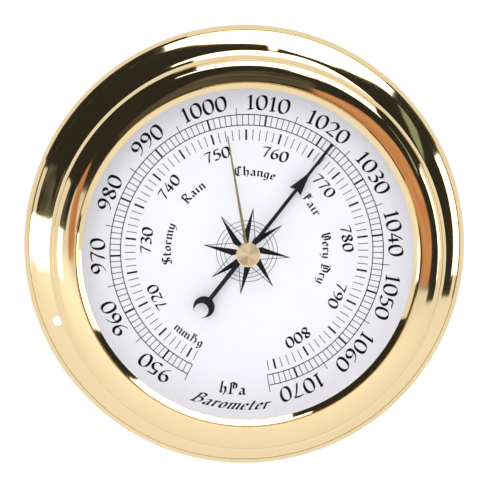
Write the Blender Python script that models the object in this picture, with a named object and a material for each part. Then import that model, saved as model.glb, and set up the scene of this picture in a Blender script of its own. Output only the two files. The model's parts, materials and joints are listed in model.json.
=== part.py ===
"""Wall-mounted aneroid barometer: brass case, printed-dial plate, two hands and its movement.

Frame: +Z up, the dial faces -Y, and the origin is the centre of the back, in the wall plane.
Lengths are in millimetres until MM turns them into metres. A depth is the distance from the
wall towards the viewer, so y = -depth. Angles of hands run clockwise as the viewer sees them,
which is the positive turn about +Y.
"""

from math import cos, pi, radians, sin, tau

import bmesh
import bpy
from mathutils import Matrix, Vector

MM = 0.001
MERGE = 1e-7
GAP = 0.3  # clearance between pieces that touch in the real instrument

# Case
FLANGE_R = 72.5
BARREL_R = 61.0
BARREL_INNER_R = 59.8
BARREL_FRONT = 33.2
LEDGE_INNER_R = 55.0
LEDGE_REAR = 2.0
LEDGE_FRONT = 3.2
WALL_HOLE_RING_R = 66.3
WALL_HOLE_R = 1.7
WALL_HOLE_ANGLES = (0, 120, 240)
RIM_REAR_INNER_R = 70.4

# Bezel, glass and dial stack
BEZEL_OPENING_R = 52.9
BEZEL_CREST_R = 55.2
BEZEL_CREST = 37.0
BEZEL_FACE_R = 61.8
BEZEL_BEAD_R = 63.0
BEZEL_BEAD = 33.0
BEZEL_REAR = 32.2
GLASS_R = 58.5
GLASS_REAR = 31.5
GLASS_FRONT = 33.5
DIAL_R = 59.2
DIAL_REAR = 22.1
DIAL_FACE = 22.9
DIAL_HOLE_R = 1.5

# Hands
HPA_AT_TOP = 1010
DEGREES_PER_HPA = 2.5
READING_HPA = 1022.04
SET_HAND_ANGLE = -17.8
HAND_REAR = 25.7
HAND_FRONT = 26.2
HAND_TIP_R = 44.2
SET_HAND_REAR = 29.3
SET_HAND_LENGTH = 38.0
KNOB_R = 3.9
KNOB_REAR = 33.8
KNOB_FRONT = 37.3

# Movement
PLATE_R = 32.0
BASE_REAR = 3.6
BASE_FRONT = 4.8
FRONT_PLATE_REAR = 19.0
FRONT_PLATE_FRONT = 20.0
PILLAR_RING_R = 28.0
PILLAR_ANGLES = (0, 120, 240)
FOOT_RING_R = 22.0
FOOT_ANGLES = (60, 180, 300)
BRIDGE_REAR = 14.6
BRIDGE_FRONT = 15.4

# Pinion and toothed sector
TOOTH_PITCH = 0.9425
PINION_TEETH = 8
SECTOR_TURN_TEETH = 128
SECTOR_TEETH = 12
PINION_PITCH_R = PINION_TEETH * TOOTH_PITCH / tau
SECTOR_PITCH_R = SECTOR_TURN_TEETH * TOOTH_PITCH / tau
SECTOR_X = -(PINION_PITCH_R + SECTOR_PITCH_R)
SECTOR_REAR = 16.2
SECTOR_FRONT = 17.2

# Capsule, its carrier and the rocking shaft
CAPSULE_X = -4.0
CAPSULE_Z = -4.3
CAPSULE_R = 13.5
CAPSULE_CENTRE_R = 3.0
CARRIER_REAR = 5.6
CARRIER_FRONT = 6.4
CARRIER_LOW_Z = -19.8
CARRIER_HIGH_Z = 19.0
SHAFT_DEPTH = 9.0
SHAFT_R = 0.6
ADJUSTER_Z = 15.0

# Back cover
COVER_R = 59.2
COVER_FRONT = 1.6
COVER_SCREW_RING_R = 57.1
COVER_SCREW_ANGLES = (60, 180, 300)
ADJUSTER_HOLE_R = 3.0
VENT_X = -15.0
VENT_Z = -20.0
VENT_R = 1.5

# Facets round a turned piece
RING_STEPS = 48
HIDDEN_STEPS = 32
CAPSULE_STEPS = 20
SMALL_STEPS = 16
SCREW_STEPS = 12

# name: (colour, metallic, roughness)
FINISHES = {
    "polished_brass": ((0.86, 0.66, 0.36), 1.0, 0.08),
    "turned_brass": ((0.80, 0.60, 0.30), 1.0, 0.25),
    "movement_brass": ((0.72, 0.54, 0.26), 1.0, 0.38),
    "steel": ((0.60, 0.60, 0.61), 1.0, 0.32),
    "capsule_metal": ((0.62, 0.55, 0.42), 1.0, 0.35),
    "black_lacquer": ((0.015, 0.015, 0.016), 0.0, 0.35),
    "dial_white": ((0.93, 0.93, 0.95), 0.0, 0.45),
    "white_paint": ((0.80, 0.79, 0.80), 0.0, 0.5),
    "black_rubber": ((0.02, 0.02, 0.02), 0.0, 0.7),
    "zinc_plate": ((0.55, 0.56, 0.58), 1.0, 0.45),
    "clear_glass": ((0.95, 0.97, 0.97), 0.0, 0.02),
}


def polar(radius, degrees):
    """The x and z of a point at this angle, clockwise from the top."""
    return radius * sin(radians(degrees)), radius * cos(radians(degrees))


def clear_scene():
    for thing in list(bpy.data.objects):
        bpy.data.objects.remove(thing, do_unlink=True)


def finish(thing, finish_name):
    colour, metallic, roughness = FINISHES[finish_name]
    material = bpy.data.materials.new(thing.name)
    material.use_nodes = True
    shader = material.node_tree.nodes["Principled BSDF"]
    shader.inputs["Base Color"].default_value = (*colour, 1)
    shader.inputs["Metallic"].default_value = metallic
    shader.inputs["Roughness"].default_value = roughness
    if finish_name == "clear_glass":
        shader.inputs["Transmission Weight"].default_value = 1
    thing.data.materials.append(material)


def add_object(name, shape, finish_name, axis_empty=None):
    """Turns a bmesh in millimetres, x right, y towards the wall, z up, into a named object."""
    bmesh.ops.scale(shape, vec=(MM, MM, MM), verts=shape.verts[:])
    bmesh.ops.recalc_face_normals(shape, faces=shape.faces[:])
    mesh = bpy.data.meshes.new(name)
    shape.to_mesh(mesh)
    shape.free()
    mesh.shade_smooth()
    mesh.set_sharp_from_angle(angle=radians(35))
    thing = bpy.data.objects.new(name, mesh)
    bpy.context.scene.collection.objects.link(thing)
    if axis_empty:
        thing.parent = axis_empty
    if finish_name:
        finish(thing, finish_name)
    return thing


def axis_empty(name, x=0.0, z=0.0, depth=0.0, turned_degrees=0.0):
    """An empty on a moving body's axis. Its children are modelled about it, before its turn."""
    empty = bpy.data.objects.new(name, None)
    empty.location = Vector((x, -depth, z)) * MM
    empty.rotation_euler = (0, radians(turned_degrees), 0)
    empty.empty_display_size = 5 * MM
    bpy.context.scene.collection.objects.link(empty)
    return empty


def revolve(outline, steps):
    """Spins an outline of (radius, depth) points about the Y axis."""
    shape = bmesh.new()
    corners = [shape.verts.new((radius, -depth, 0)) for radius, depth in outline]
    pairs = zip(corners, corners[1:] + corners[:1])
    edges = [shape.edges.new(pair) for pair in pairs if pair[0].co.x > 0 or pair[1].co.x > 0]
    bmesh.ops.spin(
        shape, geom=corners + edges, cent=(0, 0, 0), axis=(0, 1, 0),
        angle=tau, steps=steps, use_merge=True,
    )
    bmesh.ops.remove_doubles(shape, verts=shape.verts[:], dist=MERGE)
    return shape


def turned(name, outline, finish_name, x=0.0, z=0.0, steps=SMALL_STEPS, parent=None):
    """A lathe-turned piece about a line along Y through (x, z)."""
    shape = revolve(outline, steps)
    bmesh.ops.translate(shape, vec=(x, 0, z), verts=shape.verts[:])
    return add_object(name, shape, finish_name, parent)


def rod_outline(radius, rear, front, bore=0.0):
    return [(bore, rear), (radius, rear), (radius, front), (bore, front)]


def prism(name, outline, rear, front, finish_name, parent=None):
    """A plate cut to an outline of (x, z) points, between two depths."""
    shape = bmesh.new()
    corners = [shape.verts.new((x, -rear, z)) for x, z in outline]
    face = shape.faces.new(corners)
    made = bmesh.ops.extrude_face_region(shape, geom=[face])["geom"]
    moved = [part for part in made if isinstance(part, bmesh.types.BMVert)]
    bmesh.ops.translate(shape, vec=(0, rear - front, 0), verts=moved)
    return add_object(name, shape, finish_name, parent)


def upright_prism(name, outline, low_z, high_z, finish_name, parent=None):
    """A plate cut to an outline of (x, depth) points, between two heights."""
    shape = bmesh.new()
    corners = [shape.verts.new((x, -depth, low_z)) for x, depth in outline]
    face = shape.faces.new(corners)
    made = bmesh.ops.extrude_face_region(shape, geom=[face])["geom"]
    moved = [part for part in made if isinstance(part, bmesh.types.BMVert)]
    bmesh.ops.translate(shape, vec=(0, 0, high_z - low_z), verts=moved)
    return add_object(name, shape, finish_name, parent)


def combine(target, tool, operation):
    tool.hide_render = True
    tool.display_type = "WIRE"
    modifier = target.modifiers.new(operation.title(), "BOOLEAN")
    modifier.operation = operation
    modifier.solver = "EXACT"
    modifier.object = tool


def drill(target, x, z, radius, rear, front, steps=SMALL_STEPS):
    """Cuts a round hole along Y, running a little past both depths."""
    margin = 0.5
    outline = rod_outline(radius, rear - margin, front + margin)
    tool = turned(target.name + "_drill", outline, None, x, z, steps, target.parent)
    combine(target, tool, "DIFFERENCE")


def slot_head(target, x, z, width, rear, front, parent=None):
    """Cuts a screwdriver slot across a screw's rear or front end."""
    reach = 4.0
    outline = [(x - reach, z - width / 2), (x + reach, z - width / 2),
               (x + reach, z + width / 2), (x - reach, z + width / 2)]
    tool = prism(target.name + "_slot", outline, rear, front, None, parent)
    combine(target, tool, "DIFFERENCE")


def arc(centre, radius, start, end, count):
    """Points (x, z) round a circle, from one clockwise angle to another."""
    points = []
    for index in range(count + 1):
        dx, dz = polar(radius, start + (end - start) * index / count)
        points.append((centre[0] + dx, centre[1] + dz))
    return points


def rounded_rim(radius, low, high, count=4):
    """A half-round rolled edge, from its rear to its front."""
    middle = (low + high) / 2
    roll = (high - low) / 2
    points = []
    for index in range(count + 1):
        angle = pi * index / count - pi / 2
        points.append((radius - roll + roll * cos(angle), middle + roll * sin(angle)))
    return points


# ---------------------------------------------------------------- case and cover


def build_drum():
    wall = [(BARREL_R, 0.0), (BARREL_R, BARREL_FRONT), (BARREL_INNER_R, BARREL_FRONT)]
    ledge = [(BARREL_INNER_R, LEDGE_FRONT), (LEDGE_INNER_R, LEDGE_FRONT), (LEDGE_INNER_R, LEDGE_REAR)]
    foot = [(59.6, LEDGE_REAR), (59.6, 0.0)]
    drum = turned("case_drum", wall + ledge + foot, "polished_brass", steps=RING_STEPS)
    for angle in COVER_SCREW_ANGLES:
        drill(drum, *polar(COVER_SCREW_RING_R, angle), 1.1, LEDGE_REAR, LEDGE_FRONT, SCREW_STEPS)


def build_flange():
    rim = rounded_rim(FLANGE_R, 0.0, 1.6)
    face = [(71.0, 1.9), (69.0, 2.72), (67.0, 3.34), (65.4, 3.74), (64.0, 4.05), (62.8, 4.6), (61.8, 6.0)]
    collar = [(BARREL_R + GAP, 6.2), (BARREL_R + GAP, 0.0), (62.0, 0.0), (62.2, 2.3)]
    hollow = [(66.4, 2.1), (69.2, 1.3), (RIM_REAR_INNER_R, 0.0)]
    flange = turned("wall_flange", rim + face + collar + hollow, "polished_brass", steps=RING_STEPS)
    for angle in WALL_HOLE_ANGLES:
        drill(flange, *polar(WALL_HOLE_RING_R, angle), WALL_HOLE_R, 0.0, 5.0)


def build_cover():
    cover = turned("rear_cover", rod_outline(COVER_R, 0.0, COVER_FRONT), "zinc_plate",
                   steps=HIDDEN_STEPS)
    drill(cover, CAPSULE_X, ADJUSTER_Z, ADJUSTER_HOLE_R, 0.0, COVER_FRONT)
    drill(cover, VENT_X, VENT_Z, VENT_R, 0.0, COVER_FRONT)
    shank_r, head_r, head_depth = 0.8, 1.5, 0.9
    for number, angle in enumerate(COVER_SCREW_ANGLES, 1):
        x, z = polar(COVER_SCREW_RING_R, angle)
        sink = [(0, -0.5), (head_r + GAP + 0.5, -0.5), (shank_r + GAP, head_depth + 0.1),
                (shank_r + GAP, COVER_FRONT + 0.5), (0, COVER_FRONT + 0.5)]
        tool = turned(f"countersink_{number}", sink, None, x, z, SCREW_STEPS)
        combine(cover, tool, "DIFFERENCE")
        outline = [(0, 0.1), (head_r, 0.1), (shank_r, head_depth), (shank_r, 5.0), (0, 5.0)]
        screw = turned(f"cover_screw_{number}", outline, "steel", x, z, SCREW_STEPS)
        slot_head(screw, x, z, 0.4, -0.4, 0.5)


# ---------------------------------------------------------------- bezel, glass and dial


def build_bezel():
    lip = [(BEZEL_OPENING_R, 35.0), (BEZEL_OPENING_R, 35.6), (53.9, 36.55), (BEZEL_CREST_R, BEZEL_CREST)]
    band = [(57.4, 36.85), (60.0, 36.5), (61.2, 36.2), (BEZEL_FACE_R, 35.7)]
    bead = [(62.2, 34.2), (62.85, 33.6), (BEZEL_BEAD_R, BEZEL_BEAD), (62.85, 32.5), (62.4, BEZEL_REAR)]
    cap = [(BARREL_R + GAP, BEZEL_REAR), (BARREL_R + GAP, BARREL_FRONT + GAP),
           (59.2, BARREL_FRONT + GAP), (59.2, 34.6), (54.2, 34.6)]
    turned("bezel_ring", lip + band + bead + cap, "polished_brass", steps=RING_STEPS)


def build_glass():
    glass = turned("glass", rod_outline(GLASS_R, GLASS_REAR, GLASS_FRONT), "clear_glass",
                   steps=HIDDEN_STEPS)
    drill(glass, 0, 0, 1.9, GLASS_REAR, GLASS_FRONT)
    gasket = rod_outline(GLASS_R, GLASS_FRONT + GAP, 34.3, bore=55.4)
    turned("glass_gasket", gasket, "black_rubber", steps=HIDDEN_STEPS)
    wall = rod_outline(58.6, DIAL_FACE + GAP, GLASS_REAR - GAP, bore=55.2)
    turned("dial_wall_ring", wall, "white_paint", steps=HIDDEN_STEPS)


def build_dial():
    dial = turned("dial_plate", rod_outline(DIAL_R, DIAL_REAR, DIAL_FACE), "dial_white",
                  steps=HIDDEN_STEPS)
    drill(dial, 0, 0, DIAL_HOLE_R, DIAL_REAR, DIAL_FACE)
    seat = rod_outline(59.5, 20.6, DIAL_REAR - GAP, bore=55.5)
    turned("dial_seat_ring", seat, "movement_brass", steps=HIDDEN_STEPS)
    for number, angle in enumerate(FOOT_ANGLES, 1):
        foot = rod_outline(1.4, FRONT_PLATE_FRONT + GAP, DIAL_REAR - GAP)
        turned(f"dial_foot_{number}", foot, "movement_brass", *polar(FOOT_RING_R, angle))


# ---------------------------------------------------------------- hands


def pointer_outline():
    """The reading hand as (across, along) points: arrow end up, crescent tail down."""
    half_shaft, half_needle = 0.55, 0.46
    barb_r, barb_half, notch_r, neck_r = 24.8, 2.25, 26.0, 31.5
    right = [(half_shaft, 2.0), (half_shaft, notch_r), (barb_half, barb_r), (1.05, 28.2),
             (half_needle, neck_r), (half_needle, HAND_TIP_R - 1.0), (0.6, HAND_TIP_R - 0.5)]
    left = [(-across, along) for across, along in reversed(right)]
    tail_r, ring_r, hole_r, hole_shift, half_tail = 22.5, 3.46, 2.35, 1.4, 0.69
    horn = 24
    outer_left = arc((0, -tail_r), ring_r, -14, -180 + horn, 10)
    inner = arc((0, -tail_r - hole_shift), hole_r, -180 + 62, 180 - 62, 12)
    outer_right = arc((0, -tail_r), ring_r, 180 - horn, 14, 10)
    tail = [(-half_tail, -2.0), *outer_left, *inner, *outer_right, (half_tail, -2.0)]
    hub_right = arc((0, 0), 2.4, 163, 15, 5)
    hub_left = arc((0, 0), 2.4, -15, -163, 5)
    return [*hub_left, *tail[1:-1], *hub_right, *right[1:], (0, HAND_TIP_R), *left[:-1]]


def build_pointer():
    angle = (READING_HPA - HPA_AT_TOP) * DEGREES_PER_HPA
    pivot = axis_empty("pointer_axis", turned_degrees=angle)
    hand = prism("indicator_hand", pointer_outline(), HAND_REAR, HAND_FRONT, "black_lacquer", pivot)
    drill(hand, 0, 0, 0.9, HAND_REAR, HAND_FRONT, SCREW_STEPS)
    hub = [(0.9, 24.2), (1.9, 24.2), (1.9, HAND_REAR - GAP), (0.9, HAND_REAR - GAP)]
    turned("hand_hub", hub, "movement_brass", parent=pivot)
    turned("hand_arbor", rod_outline(0.6, 17.8, 27.6), "steel", steps=SCREW_STEPS, parent=pivot)
    pinion = prism("pinion", gear_outline(PINION_TEETH, PINION_PITCH_R, 0.75, range(PINION_TEETH), -90),
                   15.9, 17.5, "steel", pivot)
    rear_pivot = turned("pinion_pivot_tool", rod_outline(0.4, 14.3, 16.1), None,
                        steps=SCREW_STEPS, parent=pivot)
    combine(pinion, rear_pivot, "UNION")


def build_set_hand():
    pivot = axis_empty("set_hand_axis", turned_degrees=SET_HAND_ANGLE)
    needle = bmesh.new()
    base, tip, ridge = 0.5, 0.22, 0.45
    root_r = 3.1
    for along, half in ((root_r, base), (SET_HAND_LENGTH, tip)):
        needle.verts.new((-half, -SET_HAND_REAR, along))
        needle.verts.new((half, -SET_HAND_REAR, along))
        needle.verts.new((0, -SET_HAND_REAR - ridge, along))
    needle.verts.ensure_lookup_table()
    for corners in ((0, 1, 2), (3, 5, 4), (0, 3, 4, 1), (1, 4, 5, 2), (2, 5, 3, 0)):
        needle.faces.new([needle.verts[corner] for corner in corners])
    add_object("set_hand", needle, "turned_brass", pivot)
    turned("set_hub", [(0, 29.0), (2.8, 29.0), (2.8, 30.0), (0, 30.0)], "turned_brass", parent=pivot)
    turned("set_arbor", rod_outline(1.4, 30.3, KNOB_REAR - GAP), "steel", parent=pivot)
    washer = rod_outline(2.8, 30.3, GLASS_REAR - GAP, bore=1.8)
    turned("friction_washer", washer, "steel", parent=pivot)
    knob = [(0, KNOB_REAR), (3.5, KNOB_REAR), (KNOB_R, 34.2), (KNOB_R, 36.9), (3.6, KNOB_FRONT), (0, KNOB_FRONT)]
    turned("set_knob", knob, "turned_brass", steps=24, parent=pivot)


# ---------------------------------------------------------------- gears


def gear_outline(teeth, pitch_r, root_r, numbers, first_angle):
    """Points round trapezoid teeth. Tooth widths are measured on the pitch circle."""
    step = 360 / teeth
    half_root, half_tip, addendum = 0.21, 0.10, 0.24
    points = []
    for number in numbers:
        middle = first_angle + number * step
        for radius, half in ((root_r, -half_root), (pitch_r + addendum, -half_tip),
                             (pitch_r + addendum, half_tip), (root_r, half_root)):
            x, z = polar(radius, middle)
            shift_x, shift_z = polar(half, middle + 90)
            points.append((x + shift_x, z + shift_z))
    return points


def build_sector():
    angle = -(READING_HPA - HPA_AT_TOP) * DEGREES_PER_HPA * PINION_TEETH / SECTOR_TURN_TEETH
    pivot = axis_empty("sector_axis", x=SECTOR_X, turned_degrees=angle)
    step = 360 / SECTOR_TURN_TEETH
    first = 90 - step * (SECTOR_TEETH - 1) / 2
    teeth = gear_outline(SECTOR_TURN_TEETH, SECTOR_PITCH_R, SECTOR_PITCH_R - 0.38,
                         range(SECTOR_TEETH), first)
    tail = [(0.5, -1.73), (0.5, -3.5), (-0.5, -3.5), (-0.5, -1.73)]
    hub = arc((0, 0), 1.8, 197, 395, 8)
    sector = prism("toothed_sector", teeth + tail + hub, SECTOR_REAR, SECTOR_FRONT,
                   "movement_brass", pivot)
    window = [*arc((0, 0), 5.0, 80, 100, 2), *arc((0, 0), 15.5, 104, 76, 6)]
    tool = prism("sector_window", window, SECTOR_REAR - 1, SECTOR_FRONT + 1, None, pivot)
    combine(sector, tool, "DIFFERENCE")
    drill(sector, 0, 0, 0.9, SECTOR_REAR, SECTOR_FRONT, SCREW_STEPS)
    turned("sector_arbor", rod_outline(0.6, 14.3, 20.3), "steel", steps=SCREW_STEPS, parent=pivot)


def build_hairspring():
    """A flat spiral between the collet on the hand's arbor and a stud under the front plate."""
    turns, inner_r, outer_r, thick = 3.5, 1.9, 6.2, 0.18
    rear, front = 17.95, 18.35
    count = 44
    shape = bmesh.new()
    rows = []
    for index in range(count + 1):
        share = index / count
        radius = inner_r + (outer_r - inner_r) * share
        angle = 360 * turns * share + 90 - 360 * turns
        row = []
        for offset, depth in ((-1, rear), (1, rear), (1, front), (-1, front)):
            x, z = polar(radius + offset * thick / 2, angle)
            row.append(shape.verts.new((x, -depth, z)))
        rows.append(row)
    for before, after in zip(rows, rows[1:]):
        for side in range(4):
            following = (side + 1) % 4
            shape.faces.new((before[side], before[following], after[following], after[side]))
    shape.faces.new(rows[0])
    shape.faces.new(rows[-1][::-1])
    add_object("hairspring", shape, "steel")
    turned("hairspring_stud", rod_outline(0.5, 17.9, FRONT_PLATE_REAR - GAP), "movement_brass",
           x=outer_r + 0.9, steps=SCREW_STEPS)


# ---------------------------------------------------------------- movement frame


def build_plates():
    base = turned("base_plate", rod_outline(PLATE_R, BASE_REAR, BASE_FRONT), "movement_brass",
                  steps=HIDDEN_STEPS)
    front = turned("front_plate", rod_outline(PLATE_R, FRONT_PLATE_REAR, FRONT_PLATE_FRONT),
                   "movement_brass", steps=HIDDEN_STEPS)
    drill(base, CAPSULE_X, ADJUSTER_Z, 1.4, BASE_REAR, BASE_FRONT, SCREW_STEPS)
    drill(front, 0, 0, 1.0, FRONT_PLATE_REAR, FRONT_PLATE_FRONT, SCREW_STEPS)
    drill(front, SECTOR_X, 0, 0.9, FRONT_PLATE_REAR, FRONT_PLATE_FRONT, SCREW_STEPS)
    for number, angle in enumerate(PILLAR_ANGLES, 1):
        x, z = polar(PILLAR_RING_R, angle)
        drill(base, x, z, 1.1, BASE_REAR, BASE_FRONT, SCREW_STEPS)
        drill(front, x, z, 1.1, FRONT_PLATE_REAR, FRONT_PLATE_FRONT, SCREW_STEPS)
        pillar = turned(f"pillar_{number}", rod_outline(2.2, BASE_FRONT + GAP, FRONT_PLATE_REAR - GAP),
                        "movement_brass", x, z)
        drill(pillar, x, z, 1.1, 15.2, FRONT_PLATE_REAR, SCREW_STEPS)
        drill(pillar, x, z, 1.1, BASE_FRONT, 8.2, SCREW_STEPS)
        rear_screw = [(0, 2.4), (1.8, 2.4), (1.8, BASE_REAR - GAP), (0.8, BASE_REAR - GAP), (0.8, 8.0), (0, 8.0)]
        front_screw = [(0, 15.4), (0.8, 15.4), (0.8, 20.3), (1.8, 20.3), (1.8, 21.3), (0, 21.3)]
        rear = turned(f"rear_pillar_screw_{number}", rear_screw, "steel", x, z, SCREW_STEPS)
        top = turned(f"front_pillar_screw_{number}", front_screw, "steel", x, z, SCREW_STEPS)
        slot_head(rear, x, z, 0.5, 2.0, 2.8)
        slot_head(top, x, z, 0.5, 20.9, 21.7)


def build_bridge():
    outline = [(-27.6, -1.2), (23.6, -1.2), (23.6, 2.0), (-27.6, 2.0)]
    bridge = prism("pivot_bridge", outline, BRIDGE_REAR, BRIDGE_FRONT, "movement_brass")
    drill(bridge, 0, 0, 0.7, BRIDGE_REAR, BRIDGE_FRONT, SCREW_STEPS)
    drill(bridge, SECTOR_X, 0, 0.9, BRIDGE_REAR, BRIDGE_FRONT, SCREW_STEPS)
    post = rod_outline(1.5, BASE_FRONT + GAP, BRIDGE_REAR - GAP)
    for number, x in enumerate((-26.0, 22.0), 1):
        turned(f"bridge_post_{number}", post, "movement_brass", x, 0.4, SCREW_STEPS)


# ---------------------------------------------------------------- capsule, shaft and adjuster


def build_carrier():
    pivot = axis_empty("carrier_axis", z=CARRIER_LOW_Z, depth=(CARRIER_REAR + CARRIER_FRONT) / 2)
    half_width = 10.0
    local_rear = CARRIER_REAR + pivot.location.y / MM
    local_front = CARRIER_FRONT + pivot.location.y / MM
    height = CARRIER_HIGH_Z - CARRIER_LOW_Z
    outline = [(CAPSULE_X - half_width, 0), (CAPSULE_X + half_width, 0),
               (CAPSULE_X + half_width, height), (CAPSULE_X - half_width, height)]
    carrier = prism("carrier_plate", outline, local_rear, local_front, "steel", pivot)
    adjuster = ADJUSTER_Z - CARRIER_LOW_Z
    drill(carrier, CAPSULE_X, adjuster, 1.4, local_rear, local_front, SCREW_STEPS)
    nut = rod_outline(2.2, local_front + GAP, local_front + 1.7, bore=1.4)
    turned("carrier_nut", nut, "steel", CAPSULE_X, adjuster, 6, pivot)
    build_capsule(pivot)
    clamp = [(CAPSULE_X - half_width, -23.4), (CAPSULE_X + half_width, -23.4),
             (CAPSULE_X + half_width, CARRIER_LOW_Z - 0.4), (CAPSULE_X - half_width, CARRIER_LOW_Z - 0.4)]
    prism("carrier_clamp", clamp, BASE_FRONT + GAP, CARRIER_FRONT + 0.6, "steel")


def corrugated(start_r, end_r, depth, wave, count):
    """A diaphragm's rippled face, outwards from its centre."""
    points = []
    for index in range(count + 1):
        share = index / count
        points.append((start_r + (end_r - start_r) * share, depth + wave * sin(pi * index)))
        if index < count:
            middle = start_r + (end_r - start_r) * (share + 0.5 / count)
            points.append((middle, depth + (wave if index % 2 else -wave)))
    return points


def build_capsule(carrier_axis):
    local_x, local_z = CAPSULE_X, CAPSULE_Z - CARRIER_LOW_Z
    shift = carrier_axis.location.y / MM
    sheet = 0.4
    rim_inner = CAPSULE_R - 1.4
    rear_face = corrugated(CAPSULE_CENTRE_R, rim_inner - 0.6, 7.1 + shift, 0.25, 3)
    rear_inner = [(radius, depth + sheet) for radius, depth in reversed(rear_face)]
    rim_rear = [(CAPSULE_R, 8.3 + shift), (CAPSULE_R, 8.8 + shift), (rim_inner, 8.8 + shift)]
    closed_centre = [(0, 7.1 + shift + sheet), (0, 7.1 + shift)]
    turned("capsule_rear_shell", rear_face + rim_rear + rear_inner + closed_centre, "capsule_metal",
           local_x, local_z, CAPSULE_STEPS, carrier_axis)
    front_face = corrugated(CAPSULE_CENTRE_R + GAP, rim_inner - 0.6, 10.9 + shift, 0.25, 3)
    front_inner = [(radius, depth - sheet) for radius, depth in front_face]
    rim_front = [(rim_inner, 9.1 + shift), (CAPSULE_R, 9.1 + shift), (CAPSULE_R, 9.6 + shift)]
    turned("capsule_front_shell", front_inner + rim_front + front_face[::-1], "capsule_metal",
           local_x, local_z, CAPSULE_STEPS, carrier_axis)
    centre = [(0, 10.3 + shift), (CAPSULE_CENTRE_R, 10.3 + shift), (CAPSULE_CENTRE_R, 11.0 + shift),
              (1.2, 11.3 + shift), (1.2, 12.6 + shift), (0, 12.6 + shift)]
    turned("capsule_centre", centre, "capsule_metal", local_x, local_z, SMALL_STEPS, carrier_axis)


def build_rocker():
    """The rocking shaft stands along Z, with the main lever and the sector's pusher on it."""
    pivot = axis_empty("rocker_axis", x=SECTOR_X, depth=SHAFT_DEPTH)
    shaft = revolve(rod_outline(SHAFT_R, -8.0, 10.0), SCREW_STEPS)
    bmesh.ops.rotate(shaft, verts=shaft.verts[:], matrix=Matrix.Rotation(pi / 2, 3, "X"))
    add_object("rocking_shaft", shaft, "steel", pivot)
    reach = CAPSULE_X - SECTOR_X + 1.2
    rear, front = 12.9 - SHAFT_DEPTH, 13.7 - SHAFT_DEPTH
    lever = [(1.6, -1.2), (-1.2, -1.6), (-1.6, 0.0), (-1.2, 2.0), (1.0, front), (reach, front), (reach, rear),
             (1.6, rear), (1.2, 1.6), (1.7, 0.4)]
    lever_plate = upright_prism("main_lever", lever, -5.2, -3.4, "movement_brass", pivot)
    pusher = [(1.2, -1.2), (-1.2, -1.2), (-1.2, 1.2), (0.9, 2.4), (0.9, 8.0), (1.6, 8.0), (1.6, 1.4)]
    pusher_plate = upright_prism("sector_pusher", pusher, -3.1, -2.4, "steel", pivot)
    for plate, middle in ((lever_plate, -4.3), (pusher_plate, -2.75)):
        bore = revolve(rod_outline(SHAFT_R + GAP, -1.5, 1.5), SCREW_STEPS)
        bmesh.ops.rotate(bore, verts=bore.verts[:], matrix=Matrix.Rotation(pi / 2, 3, "X"))
        bmesh.ops.translate(bore, vec=(0, 0, middle), verts=bore.verts[:])
        combine(plate, add_object(plate.name + "_bore", bore, None, pivot), "DIFFERENCE")
    for number, (low, high) in enumerate(((-9.0, -6.5), (6.5, 9.0)), 1):
        block = [(-1.8, BASE_FRONT + GAP), (1.8, BASE_FRONT + GAP), (1.8, 10.8), (-1.8, 10.8)]
        bearing = upright_prism(f"shaft_bearing_{number}", [(SECTOR_X + x, d) for x, d in block],
                                low, high, "movement_brass")
        bore = revolve(rod_outline(SHAFT_R + GAP, -12, 12), SCREW_STEPS)
        bmesh.ops.rotate(bore, verts=bore.verts[:], matrix=Matrix.Rotation(pi / 2, 3, "X"))
        bmesh.ops.translate(bore, vec=(SECTOR_X, -SHAFT_DEPTH, 0), verts=bore.verts[:])
        combine(bearing, add_object(bearing.name + "_bore", bore, None), "DIFFERENCE")


def build_adjuster():
    pivot = axis_empty("adjuster_axis", x=CAPSULE_X, z=ADJUSTER_Z)
    outline = [(0, 2.0), (2.2, 2.0), (2.2, BASE_REAR - GAP), (1.0, BASE_REAR - GAP), (1.0, 9.4), (0, 9.4)]
    screw = turned("adjusting_screw", outline, "steel", parent=pivot)
    slot_head(screw, 0, 0, 0.6, 1.6, 2.7, pivot)


def main():
    clear_scene()
    build_drum()
    build_flange()
    build_cover()
    build_bezel()
    build_glass()
    build_dial()
    build_pointer()
    build_set_hand()
    build_sector()
    build_hairspring()
    build_plates()
    build_bridge()
    build_carrier()
    build_rocker()
    build_adjuster()


main()
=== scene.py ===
"""Looks of the aneroid barometer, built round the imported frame.

Frame: +Z up, the dial faces -Y, and the origin is the centre of the back, in the wall plane.
Lengths are in millimetres until MM turns them into metres. A depth is the distance from the
wall towards the viewer, so y = -depth. Dial angles run clockwise from the top, as seen.
"""

import json
from math import cos, degrees as in_degrees, hypot, radians, sin

import bmesh
import bpy
from mathutils import Matrix, Vector


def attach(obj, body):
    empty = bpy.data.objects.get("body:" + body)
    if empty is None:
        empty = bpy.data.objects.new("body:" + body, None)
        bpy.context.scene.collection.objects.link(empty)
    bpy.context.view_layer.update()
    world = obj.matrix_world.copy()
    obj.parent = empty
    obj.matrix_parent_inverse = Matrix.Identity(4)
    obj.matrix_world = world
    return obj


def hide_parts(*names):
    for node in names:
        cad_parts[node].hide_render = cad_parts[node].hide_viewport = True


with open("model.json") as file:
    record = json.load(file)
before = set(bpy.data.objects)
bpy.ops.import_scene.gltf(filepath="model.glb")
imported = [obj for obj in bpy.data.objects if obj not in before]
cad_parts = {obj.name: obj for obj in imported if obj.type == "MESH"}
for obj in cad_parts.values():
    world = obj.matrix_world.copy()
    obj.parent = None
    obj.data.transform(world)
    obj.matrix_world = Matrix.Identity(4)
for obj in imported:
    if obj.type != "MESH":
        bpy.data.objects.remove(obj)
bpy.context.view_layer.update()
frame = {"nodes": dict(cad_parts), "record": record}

MM = 0.001
MERGE = 1e-7
FINE_STEPS = 192
SMALL_STEPS = 48
SHARP_DEGREES = 30

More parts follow.
